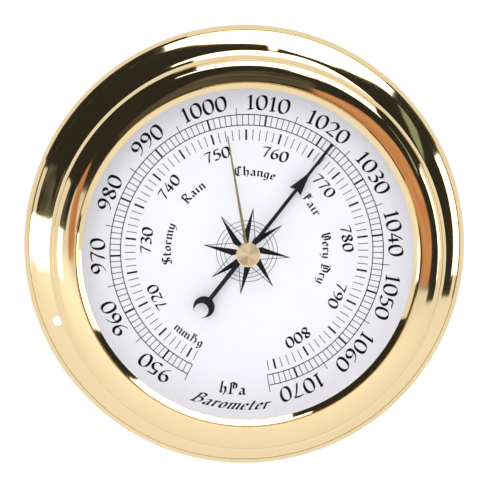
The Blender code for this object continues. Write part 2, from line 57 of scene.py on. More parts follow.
# Dial scale
HPA_AT_TOP = 1010
DEGREES_PER_HPA = 2.5
HPA_PER_MMHG = 1.33322
HPA_LOW, HPA_HIGH = 945, 1075
MMHG_LOW, MMHG_HIGH = 709, 806
READING_HPA = 1022.04
HAND_ANGLE = (READING_HPA - HPA_AT_TOP) * DEGREES_PER_HPA
SET_HAND_ANGLE = -17.8
DIAL_FACE = 22.9
INK_LIFT = 0.02

# Places shared by several pieces
BARREL_R = 61.0
BARREL_INNER_R = 59.8
FLANGE_R = 72.5
WALL_HOLE_RING_R = 66.3
WALL_HOLE_R = 1.7
WALL_HOLE_ANGLES = (0, 120, 240)
COVER_SCREW_RING_R = 57.1
COVER_SCREW_ANGLES = (60, 180, 300)
ADJUSTER = (-4.0, 15.0)
VENT = (-15.0, -20.0)


def polar(radius, degrees):
    """The x and z of a point at this angle, clockwise from the top."""
    return radius * sin(radians(degrees)), radius * cos(radians(degrees))


# ---------------------------------------------------------------- materials


def new_material(name, colour, metallic=0.0, roughness=0.5):
    """A Principled material with nodes, and the shader to wire detail into."""
    material = bpy.data.materials.new(name)
    material.use_nodes = True
    shader = material.node_tree.nodes["Principled BSDF"]
    shader.inputs["Base Color"].default_value = (*colour, 1)
    shader.inputs["Metallic"].default_value = metallic
    shader.inputs["Roughness"].default_value = roughness
    return material, shader


def noise(tree, scale, detail=3.0, stretch=(1, 1, 1)):
    """Noise in object space. The scale is in ripples per metre."""
    place = tree.nodes.new("ShaderNodeTexCoord")
    mapping = tree.nodes.new("ShaderNodeMapping")
    mapping.inputs["Scale"].default_value = stretch
    tree.links.new(place.outputs["Object"], mapping.inputs["Vector"])
    texture = tree.nodes.new("ShaderNodeTexNoise")
    texture.inputs["Scale"].default_value = scale
    texture.inputs["Detail"].default_value = detail
    tree.links.new(mapping.outputs["Vector"], texture.inputs["Vector"])
    return texture.outputs["Fac"]


def spread(tree, value, low, high):
    """Maps a 0..1 value to low..high."""
    node = tree.nodes.new("ShaderNodeMapRange")
    node.inputs["To Min"].default_value = low
    node.inputs["To Max"].default_value = high
    tree.links.new(value, node.inputs["Value"])
    return node.outputs["Result"]


def tinted(tree, value, first, second):
    """A colour between two, led by a 0..1 value."""
    ramp = tree.nodes.new("ShaderNodeValToRGB")
    ramp.color_ramp.elements[0].position = 0.3
    ramp.color_ramp.elements[1].position = 0.7
    ramp.color_ramp.elements[0].color = (*first, 1)
    ramp.color_ramp.elements[1].color = (*second, 1)
    tree.links.new(value, ramp.inputs["Fac"])
    return ramp.outputs["Color"]


def bump(tree, shader, height, strength, distance):
    node = tree.nodes.new("ShaderNodeBump")
    node.inputs["Strength"].default_value = strength
    node.inputs["Distance"].default_value = distance
    tree.links.new(height, node.inputs["Height"])
    tree.links.new(node.outputs["Normal"], shader.inputs["Normal"])


def varied(name, colours, metallic, roughnesses, scale, relief=0.0, stretch=(1, 1, 1)):
    """A material whose colour and roughness drift between two values, with a fine grain."""
    material, shader = new_material(name, colours[0], metallic)
    tree = material.node_tree
    drift = noise(tree, scale, 4.0, stretch)
    tree.links.new(tinted(tree, drift, *colours), shader.inputs["Base Color"])
    tree.links.new(spread(tree, drift, *roughnesses), shader.inputs["Roughness"])
    if relief:
        bump(tree, shader, noise(tree, scale * 12, 2.0, stretch), 0.35, relief)
    return material


def dulled(material, level):
    """Turns the mirror share of a dark paint down."""
    shader = material.node_tree.nodes["Principled BSDF"]
    shader.inputs["Specular IOR Level"].default_value = level
    return material


def turned_brass():
    """Lathe-cut brass: an anisotropic sheen turned round the Y axis, that fans from the centre."""
    # Brass made lighter than the case's polished brass: the extra lightness is a painted highlight for the
    # knob's bright sheen.
    material = varied("turned_brass", ((0.93, 0.72, 0.43), (0.97, 0.79, 0.52)), 1.0, (0.28, 0.36), 90)
    tree = material.node_tree
    shader = tree.nodes["Principled BSDF"]
    shader.inputs["Anisotropic"].default_value = 0.9
    tangent = tree.nodes.new("ShaderNodeTangent")
    tangent.direction_type = "RADIAL"
    tangent.axis = "Y"
    tree.links.new(tangent.outputs["Tangent"], shader.inputs["Tangent"])
    return material


def clear_glass():
    """Clear panes let light straight through, with a mirror sheen that grows towards the edge of view."""
    material = bpy.data.materials.new("clear_glass")
    material.use_nodes = True
    tree = material.node_tree
    tree.nodes.remove(tree.nodes["Principled BSDF"])
    through = tree.nodes.new("ShaderNodeBsdfTransparent")
    through.inputs["Color"].default_value = (0.985, 0.987, 0.99, 1)
    sheen = tree.nodes.new("ShaderNodeBsdfGlossy")
    sheen.inputs["Roughness"].default_value = 0.02
    slope = tree.nodes.new("ShaderNodeLayerWeight")
    slope.inputs["Blend"].default_value = 0.1
    mix = tree.nodes.new("ShaderNodeMixShader")
    tree.links.new(spread(tree, slope.outputs["Facing"], 0.018, 0.7), mix.inputs["Fac"])
    tree.links.new(through.outputs["BSDF"], mix.inputs[1])
    tree.links.new(sheen.outputs["BSDF"], mix.inputs[2])
    tree.links.new(mix.outputs["Shader"], tree.nodes["Material Output"].inputs["Surface"])
    return material


def make_finishes():
    brass = ((0.77, 0.61, 0.36), (0.80, 0.635, 0.38))
    movement = ((0.70, 0.51, 0.25), (0.78, 0.58, 0.31))
    return {
        "polished_brass": varied("polished_brass", brass, 1.0, (0.035, 0.075), 24),
        "turned_brass": turned_brass(),
        # Brass for the set hand, darkened to olive: the darkness is a painted dark reflection, not the
        # metal's own colour.
        "needle_brass_painted_dark_reflection": varied("needle_brass_painted_dark_reflection", ((0.34, 0.30, 0.13), (0.42, 0.37, 0.18)), 1.0,
                               (0.2, 0.3), 200),
        "movement_brass": varied("movement_brass", movement, 1.0, (0.26, 0.42), 220, 4e-6, (1, 1, 8)),
        "steel": varied("steel", ((0.56, 0.56, 0.57), (0.64, 0.64, 0.65)), 1.0, (0.24, 0.38), 260, 3e-6),
        "capsule_metal": varied("capsule_metal", ((0.60, 0.53, 0.40), (0.67, 0.60, 0.47)), 1.0,
                                (0.28, 0.42), 160, 4e-6),
        "black_lacquer": dulled(varied("black_lacquer", ((0.008, 0.008, 0.009), (0.014, 0.014, 0.015)), 0.0,
                                       (0.36, 0.46), 120, 2e-6), 0.22),
        "dial_white": varied("dial_white", ((0.915, 0.905, 0.95), (0.93, 0.92, 0.965)), 0.0,
                             (0.42, 0.55), 140, 3e-6),
        "white_paint": varied("white_paint", ((0.80, 0.79, 0.80), (0.84, 0.83, 0.84)), 0.0,
                              (0.45, 0.6), 200, 6e-6),
        "black_rubber": varied("black_rubber", ((0.018, 0.018, 0.018), (0.03, 0.03, 0.03)), 0.0,
                               (0.6, 0.8), 400, 2e-5),
        "zinc_plate": varied("zinc_plate", ((0.50, 0.51, 0.52), (0.62, 0.63, 0.64)), 1.0,
                             (0.32, 0.52), 60, 4e-6),
        "clear_glass": clear_glass(),
        "dial_ink": dulled(varied("dial_ink", ((0.008, 0.008, 0.010), (0.016, 0.016, 0.018)), 0.0,
                                  (0.5, 0.65), 300), 0.15),
    }


# ---------------------------------------------------------------- mesh helpers


def in_scene(name, data):
    thing = bpy.data.objects.new(name, data)
    bpy.context.scene.collection.objects.link(thing)
    return thing


def mesh_object(name, shape, material=None):
    """An object made from a finished bmesh, which is freed."""
    mesh = bpy.data.meshes.new(name)
    shape.to_mesh(mesh)
    shape.free()
    if material:
        mesh.materials.append(material)
    return in_scene(name, mesh)


def round_shaded(thing):
    """Smooth shading that breaks at the sharp edges."""
    thing.data.shade_smooth()
    thing.data.set_sharp_from_angle(angle=radians(SHARP_DEGREES))


def piece(name, shape, finish, body, *stands_for):
    """A visible piece that moves with a CAD body and stands for CAD nodes."""
    thing = mesh_object(name, shape, FINISHES[finish])
    round_shaded(thing)
    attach(thing, body)
    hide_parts(*stands_for)
    return thing


def revolve(outline, steps=FINE_STEPS, x=0.0, z=0.0):
    """Turns a closed outline of (radius, depth) points about a line along Y."""
    shape = bmesh.new()
    rings = []
    for step in range(steps):
        angle = 360 * step / steps
        ring = []
        for radius, depth in outline:
            across, up = polar(radius, angle)
            ring.append(shape.verts.new(((x + across) * MM, -depth * MM, (z + up) * MM)))
        rings.append(ring)
    count = len(outline)
    for step in range(steps):
        here, beyond = rings[step], rings[(step + 1) % steps]
        for index in range(count):
            after = (index + 1) % count
            if outline[index][0] or outline[after][0]:
                shape.faces.new((here[index], here[after], beyond[after], beyond[index]))
    bmesh.ops.remove_doubles(shape, verts=shape.verts[:], dist=MERGE)
    bmesh.ops.recalc_face_normals(shape, faces=shape.faces[:])
    return shape


def prism(outline, rear, front, degrees=0.0, bevel=0.0):
    """A plate cut to an outline of (across, along) points and turned clockwise to an angle."""
    shape = bmesh.new()
    corners = [shape.verts.new((across * MM, -rear * MM, along * MM)) for across, along in outline]
    face = shape.faces.new(corners)
    made = bmesh.ops.extrude_face_region(shape, geom=[face])["geom"]
    moved = [part for part in made if isinstance(part, bmesh.types.BMVert)]
    bmesh.ops.translate(shape, vec=(0, (rear - front) * MM, 0), verts=moved)
    bmesh.ops.recalc_face_normals(shape, faces=shape.faces[:])
    if bevel:
        front_y = -front * MM
        rims = [edge for edge in shape.edges
                if all(abs(corner.co.y - front_y) < MERGE for corner in edge.verts)]
        bmesh.ops.bevel(shape, geom=rims, offset=bevel * MM, segments=2, affect="EDGES", clamp_overlap=True)
    turn = Matrix.Rotation(radians(degrees), 3, "Y")
    bmesh.ops.rotate(shape, verts=shape.verts[:], matrix=turn)
    return shape


def cut(target, *tools):
    """Cuts closed tool shapes out of a piece and keeps the result as its mesh."""
    for tool in tools:
        helper = mesh_object(target.name + "_tool", tool)
        round_shaded(helper)
        modifier = target.modifiers.new("cut", "BOOLEAN")
        modifier.operation = "DIFFERENCE"
        modifier.object = helper
        graph = bpy.context.evaluated_depsgraph_get()
        mesh = bpy.data.meshes.new_from_object(target.evaluated_get(graph))
        target.modifiers.clear()
        target.data = mesh
        bpy.data.objects.remove(helper)
    round_shaded(target)


def rod(radius, rear, front, bore=0.0, edge=0.0):
    """The outline of a rod or a ring, with its front and rear outer edges broken."""
    if not edge:
        return [(bore, rear), (radius, rear), (radius, front), (bore, front)]
    return [(bore, rear), (radius - edge, rear), (radius, rear + edge), (radius, front - edge),
            (radius - edge, front), (bore, front)]


def arc(centre, radius, start, end, count):
    """Points round a circle, from one clockwise angle to another."""
    points = []
    for index in range(count + 1):
        across, along = polar(radius, start + (end - start) * index / count)
        points.append((centre[0] + across, centre[1] + along))
    return points


def smooth(points, parts=6):
    """A Catmull-Rom curve through the points."""
    if len(points) < 3:
        return points
    curve = [points[0]]
    closed = points[0] == points[-1]
    before = [points[-2] if closed else points[0], *points]
    padded = [*before, points[1] if closed else points[-1]]
    for index in range(len(points) - 1):
        p0, p1, p2, p3 = padded[index:index + 4]
        for part in range(1, parts + 1):
            t = part / parts
            weights = (-t + 2 * t**2 - t**3, 2 - 5 * t**2 + 3 * t**3, t + 4 * t**2 - 3 * t**3, t**3 - t**2)
            curve.append(tuple(sum(w * p[axis] for w, p in zip(weights, (p0, p1, p2, p3))) / 2
                               for axis in range(2)))
    return curve


def rolled(centre_r, centre_depth, radius, start, end, count=8):
    """Section points round a rolled edge. Angle 0 faces the viewer and 90 faces outwards."""
    return arc((centre_r, centre_depth), radius, start, end, count)


# ---------------------------------------------------------------- case


def build_drum():
    wall = [(BARREL_R, 0.0), (BARREL_R, 32.9), (BARREL_R - 0.3, 33.2), (BARREL_INNER_R, 33.2)]
    ledge = [(BARREL_INNER_R, 3.2), (55.0, 3.2), (55.0, 2.0), (59.6, 2.0), (59.6, 0.0)]
    drum = piece("case_drum_shell", revolve(wall + ledge), "polished_brass", "case", "case_drum")
    holes = [revolve(rod(1.1, 1.0, 4.0), SMALL_STEPS, *polar(COVER_SCREW_RING_R, angle))
             for angle in COVER_SCREW_ANGLES]
    cut(drum, *holes)


def build_flange():
    rim = [(71.9, 0.0), (72.4, 0.15), (FLANGE_R, 0.4), (72.35, 0.72), (71.9, 1.2), (71.4, 1.7), (71.0, 2.05)]
    step = [(70.88, 2.05), (70.8, 1.98)]
    ogee = [(70.7, 2.0), (69.0, 2.72), (67.0, 3.34), (65.4, 3.74), (64.0, 4.05), (62.8, 4.6),
            (62.1, 5.4), (61.8, 6.0)]
    face = smooth(ogee, 5)
    collar = [(61.6, 6.2), (61.3, 6.2), (61.3, 0.0), (62.0, 0.0), (62.2, 2.3)]
    hollow = [(64.2, 2.3), (66.4, 2.1), (69.2, 1.3), (70.4, 0.0)]
    outline = rim + step + face + collar + hollow
    flange = piece("wall_flange_plate", revolve(outline), "polished_brass", "case", "wall_flange")
    bore = [(0, 0.5), (WALL_HOLE_R, 0.5), (WALL_HOLE_R, 3.0), (2.15, 3.75), (2.15, 5.0), (0, 5.0)]
    holes = [revolve(bore, SMALL_STEPS, *polar(WALL_HOLE_RING_R, angle))
             for angle in WALL_HOLE_ANGLES]
    cut(flange, *holes)


def build_bezel():
    lip = [(52.9, 35.0), (52.9, 35.75), (53.0, 35.85), (54.55, 36.85), (54.7, 36.9)]
    groove = [(54.76, 36.6), (54.9, 36.5), (55.04, 36.6), (55.16, 36.97)]
    band = [(56.2, 36.93), (57.2, 36.84), (58.2, 36.72), (59.2, 36.57), (59.6, 36.49)]
    step = [(60.1, 36.37), (60.6, 36.25)]
    shoulder = [(60.95, 36.05), (61.5, 35.65), (62.1, 35.1)]
    waist = [(62.12, 34.85), (62.16, 34.68), (62.3, 34.66), (62.38, 34.74)]
    rim = [(62.8, 34.28), (63.15, 33.78), (63.35, 33.3), (63.2, 32.7)]
    skirt = [(62.6, 32.6), (62.4, 32.2), (61.3, 32.2), (61.3, 33.5), (59.2, 33.5), (59.2, 34.6), (54.2, 34.6)]
    outline = lip + groove + band + step + shoulder + waist + rim + skirt
    piece("bezel_ring_turned", revolve(outline, 256), "polished_brass", "case", "bezel_ring")


def build_rear():
    cover = piece("rear_cover_plate", revolve(rod(59.2, 0.0, 1.6, edge=0.25)), "zinc_plate",
                  "case", "rear_cover")
    tools = [revolve(rod(3.0, -0.5, 2.1), SMALL_STEPS, *ADJUSTER),
             revolve(rod(1.5, -0.5, 2.1), SMALL_STEPS, *VENT)]
    sink = [(0, -0.5), (2.3, -0.5), (1.1, 1.0), (1.1, 2.1), (0, 2.1)]
    screw = [(0, 0.1), (1.4, 0.1), (1.5, 0.2), (0.8, 0.9), (0.8, 5.0), (0, 5.0)]
    for angle in COVER_SCREW_ANGLES:
        tools.append(revolve(sink, SMALL_STEPS, *polar(COVER_SCREW_RING_R, angle)))
    cut(cover, *tools)
    for number, angle in enumerate(COVER_SCREW_ANGLES, 1):
        x, z = polar(COVER_SCREW_RING_R, angle)
        head = piece(f"cover_screw_head_{number}", revolve(screw, SMALL_STEPS, x, z), "steel",
                     "case", f"cover_screw_{number}")
        slot = [(x - 2, z - 0.2), (x + 2, z - 0.2), (x + 2, z + 0.2), (x - 2, z + 0.2)]
        cut(head, prism(slot, -0.4, 0.5))


def build_glass_and_walls():
    pane = piece("glass_pane", revolve(rod(58.5, 31.5, 33.5, 1.9, 0.2)), "clear_glass", "case", "glass")
    pane.visible_shadow = False
    piece("gasket_ring", revolve(rod(58.5, 33.8, 34.3, 55.4)), "black_rubber", "case", "glass_gasket")
    piece("dial_wall", revolve(rod(58.6, 23.2, 31.2, 55.2, 0.1)), "white_paint", "case", "dial_wall_ring")
    piece("dial_sheet", revolve(rod(59.2, 22.1, DIAL_FACE, 1.5, 0.08)), "dial_white", "case", "dial_plate")


# ---------------------------------------------------------------- hands


def pointer_outline():
    """The reading hand as (across, along) points: swallow-tailed head up, crescent tail down."""
    half_shaft, half_needle = 0.55, 0.465
    barb_r, barb_half, notch_r, neck_r, tip_r = 24.8, 2.25, 25.4, 31.8, 44.2
    flank = [(barb_half, barb_r)]
    for index in range(1, 9):
        share = index / 8
        flank.append((half_needle + (barb_half - half_needle) * (1 - share) ** 1.2,
                      barb_r + (neck_r - barb_r) * share))
    tip = [(0.47, tip_r - 1.1), (0.6, tip_r - 0.7), (0.58, tip_r - 0.35), (0.36, tip_r - 0.1)]
    right = [(half_shaft, notch_r), *flank, *tip]
    left = [(-across, along) for across, along in reversed(right)]
    tail_r, ring_r, hole_r, hole_shift, half_tail = 22.5, 3.46, 2.35, 1.4, 0.69
    horn, mouth = 24, 62
    outer_left = arc((0, -tail_r), ring_r, -12, -180 + horn, 24)
    inner = arc((0, -tail_r - hole_shift), hole_r, -180 + mouth, 180 - mouth, 28)
    outer_right = arc((0, -tail_r), ring_r, 180 - horn, 12, 24)
    tail = [*outer_left, *inner, *outer_right]
    hub_right = arc((0, 0), 2.4, 163, 15, 14)
    hub_left = arc((0, 0), 2.4, -15, -163, 14)
    return [*hub_left, (-half_tail, -17.0), *tail, (half_tail, -17.0), *hub_right, *right, (0, tip_r), *left]


def build_hands():
    hand = piece("indicator_hand_blade", prism(pointer_outline(), 25.7, 26.2, HAND_ANGLE, 0.12),
                 "black_lacquer", "pointer", "indicator_hand")
    cut(hand, revolve(rod(0.9, 25.0, 27.0), SMALL_STEPS))
    hub = [(0.9, 24.2), (1.7, 24.2), (1.9, 24.4), (1.9, 25.2), (1.7, 25.4), (0.9, 25.4)]
    piece("hand_collet", revolve(hub, SMALL_STEPS), "movement_brass", "pointer", "hand_hub")
    blade = piece("set_hand_needle", needle(), "needle_brass_painted_dark_reflection", "set_pointer", "set_hand")
    piece("set_hand_boss", revolve(rod(2.8, 29.0, 30.0, edge=0.2), SMALL_STEPS), "turned_brass",
          "set_pointer", "set_hub")
    dish = [(0, 37.2), (1.8, 37.24), (3.4, 37.27)]
    crown = rolled(3.65, 37.12, 0.15, 0, 90, 4)
    side = [(3.8, 34.2), (3.7, 33.95), (3.5, 33.8), (0, 33.8)]
    piece("set_knob_turned", revolve(dish + crown + side, 96), "turned_brass", "set_pointer", "set_knob")


def needle():
    """A thin tapering needle with a ridge along its middle."""
    shape = bmesh.new()
    rear, ridge, root_r, tip_r = 29.3, 0.45, 3.1, 38.0
    for along, half in ((root_r, 0.5), (tip_r, 0.22)):
        for across, depth in ((-half, rear), (half, rear), (0, rear + ridge)):
            shape.verts.new((across * MM, -depth * MM, along * MM))
    shape.verts.ensure_lookup_table()
    for corners in ((0, 1, 2), (3, 5, 4), (0, 3, 4, 1), (1, 4, 5, 2), (2, 5, 3, 0)):
        shape.faces.new([shape.verts[corner] for corner in corners])
    bmesh.ops.recalc_face_normals(shape, faces=shape.faces[:])
    turn = Matrix.Rotation(radians(SET_HAND_ANGLE), 3, "Y")
    bmesh.ops.rotate(shape, verts=shape.verts[:], matrix=turn)
    return shape


# ---------------------------------------------------------------- dial print


class Print:
    """Flat ink laid on the dial. Corners are (x, z) in millimetres on the dial's face."""

    def __init__(self):
        self.shape = bmesh.new()

    def patch(self, corners):
        turn = 0.0
        for (x0, z0), (x1, z1) in zip(corners, corners[1:] + corners[:1]):
            turn += x0 * z1 - x1 * z0
        ordered = corners if turn > 0 else corners[::-1]
        depth = DIAL_FACE + INK_LIFT
        self.shape.faces.new([self.shape.verts.new((x * MM, -depth * MM, z * MM)) for x, z in ordered])

    def sector(self, inner, outer, start, end, steps):
        """A ring, or part of one, between two radii."""
        for step in range(steps):
            first = start + (end - start) * step / steps
            last = start + (end - start) * (step + 1) / steps
            self.patch([polar(inner, first), polar(outer, first), polar(outer, last), polar(inner, last)])

    def tick(self, inner, outer, degrees, width):
        half = width / 2
        side_x, side_z = polar(half, degrees + 90)
        near, far = polar(inner, degrees), polar(outer, degrees)
        self.patch([(near[0] - side_x, near[1] - side_z), (far[0] - side_x, far[1] - side_z),
                    (far[0] + side_x, far[1] + side_z), (near[0] + side_x, near[1] + side_z)])

    def line(self, first, last, width):
        along_x, along_z = last[0] - first[0], last[1] - first[1]
        length = hypot(along_x, along_z) or 1.0
        side_x, side_z = -along_z / length * width / 2, along_x / length * width / 2
        self.patch([(first[0] - side_x, first[1] - side_z), (last[0] - side_x, last[1] - side_z),
                    (last[0] + side_x, last[1] + side_z), (first[0] + side_x, first[1] + side_z)])

    def lay(self, name):
        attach(mesh_object(name, self.shape, FINISHES["dial_ink"]), "case")


# Pen strokes of each figure, as (across, up) points with the figure's height as 1
FIGURES = {
    "0": (0.62, [[(0.31, 0.97), (0.12, 0.85), (0.06, 0.50), (0.13, 0.14), (0.31, 0.03), (0.49, 0.15),
                  (0.56, 0.50), (0.49, 0.86), (0.31, 0.97)]]),
    "1": (0.46, [[(0.10, 0.80), (0.24, 0.97)],
                 [(0.24, 0.95), (0.24, 0.04)],
                 [(0.10, 0.03), (0.38, 0.05)]]),
    "2": (0.60, [[(0.08, 0.76), (0.18, 0.93), (0.36, 0.95), (0.48, 0.80), (0.42, 0.52), (0.07, 0.07)],
                 [(0.07, 0.09), (0.30, 0.09), (0.55, 0.05)]]),
    "3": (0.58, [[(0.08, 0.88), (0.28, 0.97), (0.46, 0.84), (0.40, 0.62), (0.22, 0.54)],
                 [(0.22, 0.54), (0.44, 0.46), (0.50, 0.24), (0.32, 0.04), (0.06, 0.08)]]),
    "4": (0.60, [[(0.38, 0.97), (0.05, 0.30)],
                 [(0.05, 0.29), (0.56, 0.29)],
                 [(0.40, 0.70), (0.40, 0.02)]]),
    "5": (0.58, [[(0.16, 0.92), (0.50, 0.95)],
                 [(0.16, 0.92), (0.13, 0.56)],
                 [(0.13, 0.56), (0.34, 0.59), (0.49, 0.42), (0.46, 0.18), (0.26, 0.03), (0.05, 0.09)]]),
    "6": (0.60, [[(0.46, 0.97), (0.22, 0.78), (0.08, 0.44), (0.12, 0.14), (0.30, 0.03), (0.48, 0.16),
                  (0.50, 0.38), (0.34, 0.54), (0.12, 0.42)]]),
    "7": (0.58, [[(0.06, 0.90), (0.28, 0.94), (0.52, 0.92)],
                 [(0.52, 0.92), (0.34, 0.52), (0.20, 0.02)]]),
    "8": (0.60, [[(0.44, 0.86), (0.28, 0.97), (0.13, 0.84), (0.17, 0.66), (0.42, 0.42), (0.50, 0.20),
                  (0.30, 0.03), (0.10, 0.18), (0.16, 0.40), (0.40, 0.62), (0.46, 0.80), (0.38, 0.92)]]),
    "9": (0.60, [[(0.50, 0.60), (0.28, 0.46), (0.11, 0.62), (0.13, 0.86), (0.30, 0.97), (0.48, 0.86),
                  (0.53, 0.56), (0.40, 0.22), (0.14, 0.03)]]),
}

# Pen strokes of the black letters: small letters are 0.58 high
LETTERS = {
    "a": (0.42, [[(0.05, 0.46), (0.18, 0.57), (0.29, 0.47), (0.29, 0.08), (0.37, 0.01)],
                 [(0.29, 0.32), (0.08, 0.24), (0.05, 0.09), (0.14, 0.00), (0.28, 0.10)]]),
    "e": (0.36, [[(0.06, 0.26), (0.29, 0.38), (0.26, 0.50), (0.17, 0.57), (0.06, 0.46), (0.06, 0.10),
                  (0.16, 0.01), (0.30, 0.11)]]),
    "g": (0.42, [[(0.30, 0.47), (0.18, 0.57), (0.06, 0.46), (0.06, 0.12), (0.16, 0.01), (0.30, 0.12)],
                 [(0.30, 0.56), (0.30, -0.14), (0.17, -0.28), (0.04, -0.18)]]),
    "h": (0.44, [[(0.00, 0.90), (0.08, 1.00), (0.08, 0.08), (0.15, 0.01)],
                 [(0.08, 0.44), (0.24, 0.57), (0.34, 0.46), (0.34, 0.10), (0.24, -0.14)]]),
    "i": (0.24, [[(0.02, 0.48), (0.09, 0.57), (0.09, 0.09), (0.17, 0.01)],
                 [(0.06, 0.76), (0.12, 0.82)]]),
    "m": (0.68, [[(0.00, 0.48), (0.08, 0.57), (0.08, 0.08), (0.15, 0.01)],
                 [(0.08, 0.45), (0.24, 0.57), (0.33, 0.48), (0.33, 0.08), (0.40, 0.01)],
                 [(0.33, 0.45), (0.49, 0.57), (0.58, 0.48), (0.58, 0.08), (0.65, 0.01)]]),
    "n": (0.44, [[(0.00, 0.48), (0.08, 0.57), (0.08, 0.08), (0.15, 0.01)],
                 [(0.08, 0.45), (0.24, 0.57), (0.33, 0.48), (0.33, 0.08), (0.41, 0.01)]]),
    "o": (0.40, [[(0.18, 0.57), (0.06, 0.46), (0.06, 0.11), (0.18, 0.01), (0.31, 0.12), (0.31, 0.46),
                  (0.18, 0.57)]]),
    "r": (0.32, [[(0.00, 0.48), (0.08, 0.57), (0.08, 0.08), (0.15, 0.01)],
                 [(0.08, 0.45), (0.20, 0.57), (0.29, 0.49)]]),
    "t": (0.30, [[(0.10, 0.82), (0.10, 0.10), (0.18, 0.01), (0.26, 0.08)],
                 [(0.00, 0.55), (0.25, 0.57)]]),
    "y": (0.42, [[(0.00, 0.48), (0.08, 0.57), (0.08, 0.12), (0.18, 0.01), (0.32, 0.12)],
                 [(0.32, 0.57), (0.32, -0.02), (0.20, -0.24), (0.04, -0.28)]]),
    "B": (0.62, [[(0.14, 0.98), (0.14, 0.06), (0.05, 0.00)],
                 [(0.02, 0.90), (0.24, 1.00), (0.48, 0.86), (0.40, 0.62), (0.16, 0.54)],
                 [(0.16, 0.54), (0.46, 0.50), (0.54, 0.24), (0.32, 0.00), (0.05, 0.06)]]),
    "C": (0.58, [[(0.50, 0.84), (0.34, 1.00), (0.12, 0.84), (0.07, 0.30), (0.28, 0.00), (0.52, 0.14)],
                 [(0.30, 0.92), (0.28, 0.16)]]),
    "D": (0.64, [[(0.16, 0.86), (0.15, 0.12)],
                 [(0.02, 0.92), (0.26, 1.00), (0.54, 0.74), (0.54, 0.24), (0.30, 0.00), (0.04, 0.08)],
                 [(0.32, 0.80), (0.32, 0.20)]]),
    "F": (0.56, [[(0.22, 0.90), (0.20, 0.12), (0.06, 0.00)],
                 [(0.02, 0.84), (0.18, 1.00), (0.38, 0.90), (0.54, 1.00)],
                 [(0.22, 0.56), (0.44, 0.56)],
                 [(0.36, 0.86), (0.36, 0.64)]]),
    "H": (0.66, [[(0.04, 0.94), (0.16, 1.00), (0.16, 0.06), (0.06, 0.00)],
                 [(0.16, 0.50), (0.38, 0.62), (0.50, 0.48), (0.50, 0.14), (0.38, -0.06)],
                 [(0.32, 1.00), (0.32, 0.66)]]),
    "P": (0.60, [[(0.16, 0.98), (0.16, 0.02)],
                 [(0.02, 0.86), (0.24, 1.00), (0.50, 0.84), (0.48, 0.52), (0.28, 0.40)],
                 [(0.04, 0.02), (0.28, 0.02)],
                 [(0.32, 0.90), (0.32, 0.50)]]),
    "R": (0.64, [[(0.16, 0.98), (0.16, 0.04)],
                 [(0.02, 0.88), (0.24, 1.00), (0.48, 0.84), (0.42, 0.58), (0.18, 0.50)],
                 [(0.26, 0.52), (0.42, 0.20), (0.58, 0.02)],
                 [(0.04, 0.02), (0.26, 0.02)]]),
    "S": (0.56, [[(0.48, 0.86), (0.32, 1.00), (0.10, 0.86), (0.12, 0.62), (0.44, 0.40), (0.48, 0.16),
                  (0.28, 0.00), (0.04, 0.10)],
                 [(0.28, 0.90), (0.28, 0.16)]]),
    "V": (0.60, [[(0.02, 0.88), (0.14, 1.00), (0.16, 0.22), (0.32, 0.00), (0.52, 0.24), (0.50, 0.78),
                  (0.36, 0.98)],
                 [(0.33, 0.84), (0.33, 0.20)]]),
}


class Pen:
    """A broad nib held at an angle. It inks a glyph's strokes along a circle of the dial."""

    def __init__(self, ink, glyphs, nib, hairline, nib_degrees=38, curved=True, slant=0.0, squeeze=1.0):
        self.ink = ink
        self.glyphs = glyphs
        self.nib = (nib * cos(radians(nib_degrees)) / 2, nib * sin(radians(nib_degrees)) / 2)
        self.hairline = hairline
        self.curved = curved
        self.slant = slant
        self.squeeze = squeeze

    def write(self, text, radius, degrees, height, outwards=True, gap=0.06):
        """Writes text centred at an angle. Its foot, or its top if it isn't outwards, is on the radius."""
        widths = [self.glyphs[letter][0] + gap if letter != " " else 0.3 for letter in text]
        cursor = -(sum(widths) - gap) / 2
        for letter, width in zip(text, widths):
            if letter != " ":
                for stroke in self.glyphs[letter][1]:
                    self.ink_stroke(stroke, cursor, radius, degrees, height, outwards)
            cursor += width

    def ink_stroke(self, stroke, cursor, radius, degrees, height, outwards):
        points = smooth(stroke) if self.curved else stroke

        def place(across, up):
            along = (cursor + across + up * self.slant) * height * self.squeeze
            if outwards:
                return polar(radius + up * height, degrees + in_degrees(along / radius))
            return polar(radius - up * height, degrees - in_degrees(along / radius))

        nib_x, nib_y = self.nib
        for (x0, y0), (x1, y1) in zip(points, points[1:]):
            self.ink.patch([place(x0 - nib_x, y0 - nib_y), place(x0 + nib_x, y0 + nib_y),
                            place(x1 + nib_x, y1 + nib_y), place(x1 - nib_x, y1 - nib_y)])
            self.ink.line(place(x0, y0), place(x1, y1), self.hairline)


def hpa_angle(hpa):
    return (hpa - HPA_AT_TOP) * DEGREES_PER_HPA


def build_scale():
    ink = Print()
    outer_r, inner_r, long_r = 44.1, 40.7, 46.3
    mmhg_inner_r, mmhg_outer_r = 35.9, 39.3
    half_line, thin, thick = 0.15, 0.24, 0.62
    low, high = hpa_angle(HPA_LOW), hpa_angle(HPA_HIGH)
    for radius in (outer_r, inner_r):
        ink.sector(radius - half_line, radius + half_line, low, high, 260)
    for hpa in range(HPA_LOW, HPA_HIGH + 1):
        long_tick = hpa % 10 == 5
        width = thick if hpa % 10 == 0 else thin
        ink.tick(inner_r, long_r if long_tick else outer_r, hpa_angle(hpa), width)
    for mmhg in range(MMHG_LOW, MMHG_HIGH + 1):
        width = thick if mmhg % 5 == 0 else thin
        ink.tick(mmhg_inner_r, mmhg_outer_r, hpa_angle(mmhg * HPA_PER_MMHG), width)
    ink.lay("dial_scale_print")


